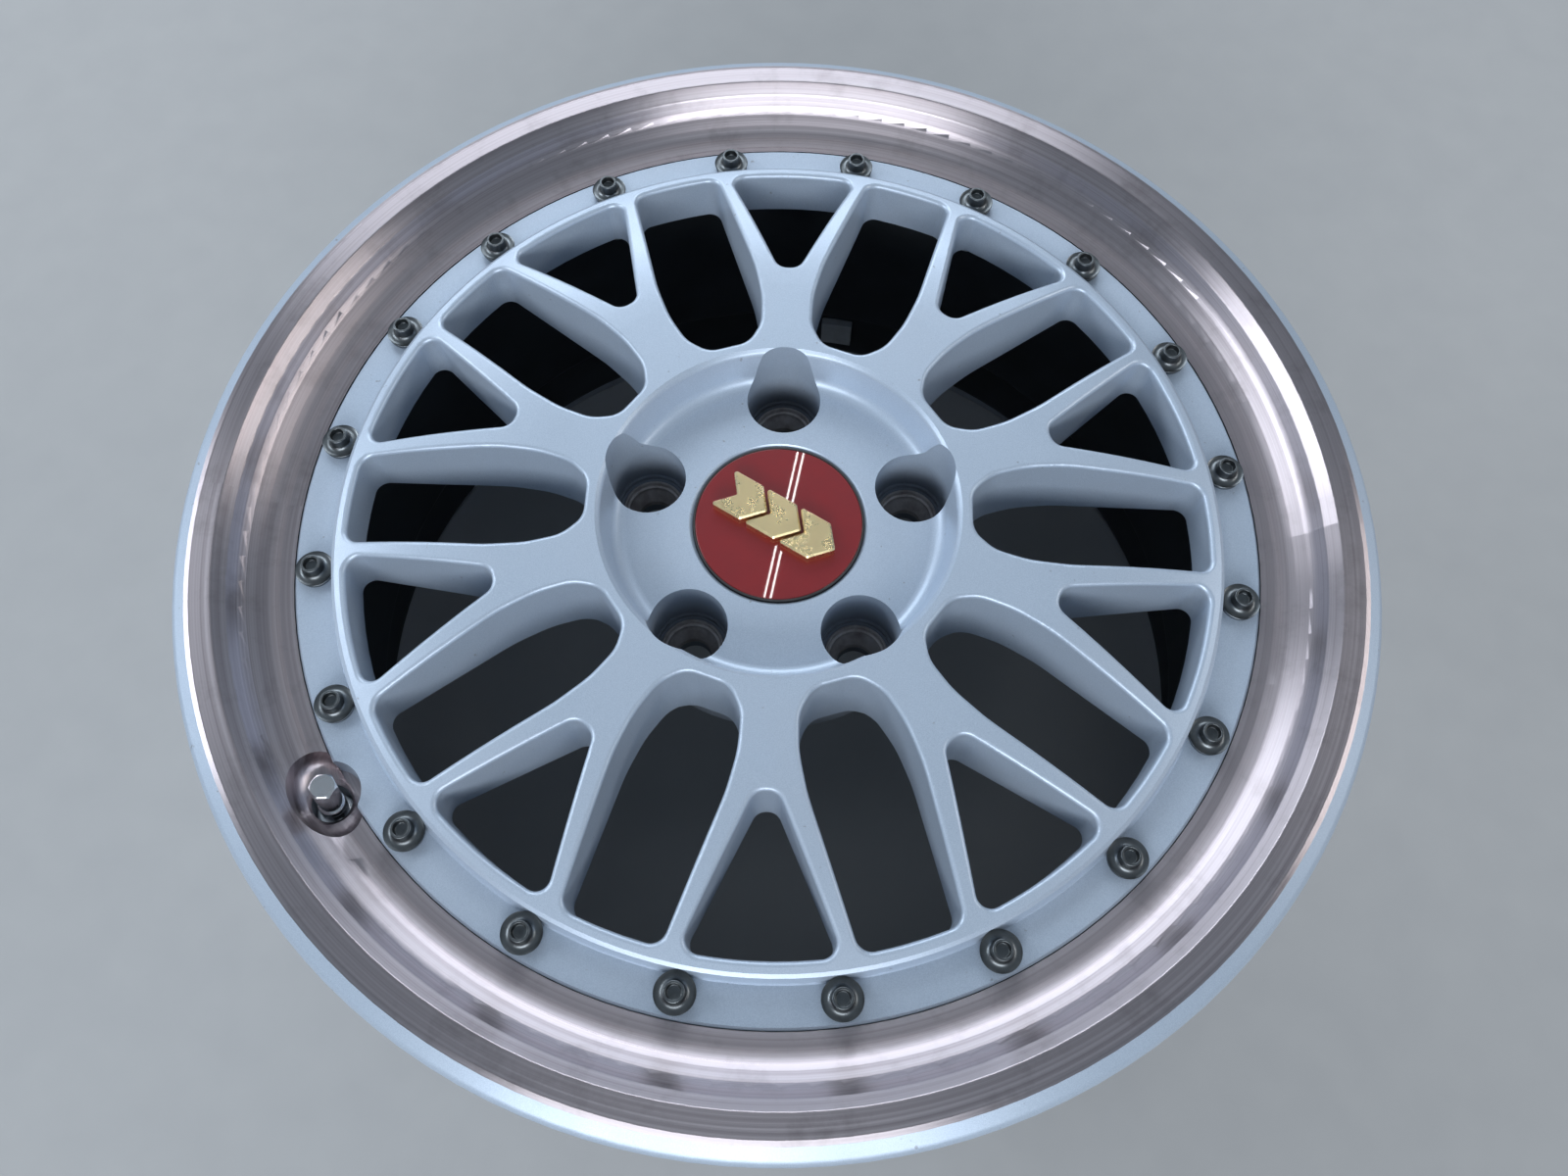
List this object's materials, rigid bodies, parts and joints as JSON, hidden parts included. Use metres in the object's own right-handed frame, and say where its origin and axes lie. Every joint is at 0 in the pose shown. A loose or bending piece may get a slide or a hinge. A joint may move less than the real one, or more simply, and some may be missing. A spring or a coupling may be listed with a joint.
{
  "type": "wheel rim",
  "caption": "Two-piece forged racing wheel rim: spoked centre bolted to a polished deep barrel, with snap-in centre cap and clamp-in valve.",
  "frame": {"origin": "on the wheel axis, half way between the outer planes of the two rim flanges", "axes": "+Z along the wheel axis, out of the outboard face; +Y along one twin spoke and one stud hole"},
  "size_m": [0.4703, 0.4704, 0.2164],
  "materials": {
    "polished_aluminium": "machined and polished",
    "silver_paint": "satin silver paint on forged aluminium",
    "black_chrome": "black chrome",
    "zinc_steel": "zinc plated",
    "seat_steel": "bare steel, dirty",
    "black_plastic": "moulded",
    "red_gloss": "gloss lacquer",
    "gold": "gold plated",
    "ring_plastic": "moulded",
    "chrome": "bright chrome",
    "rubber": "moulded",
    "brass": "turned",
    "tape": "foam tape"
  },
  "bodies": {
    "wheel": {"rim_barrel": "polished_aluminium", "centre_disc": "silver_paint", "assembly_bolts": "black_chrome", "assembly_nuts": "zinc_steel", "lug_seats": "seat_steel", "centring_ring": "ring_plastic", "centring_clip": "zinc_steel", "valve_stem": "chrome", "valve_seal": "rubber", "valve_washer": "zinc_steel", "valve_nut": "chrome", "valve_core_body": "brass", "valve_core_spring": "zinc_steel", "balance_weight": "zinc_steel", "balance_tape": "tape"},
    "centre_cap": {"cap_carrier": "black_plastic", "cap_spring": "zinc_steel", "cap_plate": "red_gloss", "cap_badge": "gold"},
    "cap_gasket": {"valve_cap_gasket": "rubber"},
    "valve_cap": {"valve_cap": "chrome"},
    "valve_pin": {"valve_core_pin": "brass", "valve_core_seal": "rubber"}
  },
  "joints": [
    {"name": "centre_cap_pull", "type": "slide", "parent": "wheel", "child": "centre_cap", "axis": [0, 0, 1], "range_m": [0, 0.022]},
    {"name": "valve_cap_lift", "type": "slide", "parent": "wheel", "child": "cap_gasket", "axis": [0.1405, 0.1021, 0.9848], "range_m": [0, 0.00556]},
    {"name": "valve_cap_turn", "type": "hinge", "parent": "cap_gasket", "child": "valve_cap", "pos_m": [-0.1618, -0.11756, 0.092], "axis": [0.1405, 0.1021, 0.9848], "range_deg": [0, 2520]},
    {"name": "valve_pin_press", "type": "slide", "parent": "wheel", "child": "valve_pin", "axis": [-0.1405, -0.1021, -0.9848], "range_m": [0, 0.0012], "stiffness_N_per_m": 900, "springref_m": -0.0025, "deforming": ["valve_core_spring"]}
  ],
  "couplings": [
    {"joint": "valve_cap_turn", "follows": "valve_cap_lift", "rad_per_m": 7913.3}
  ]
}
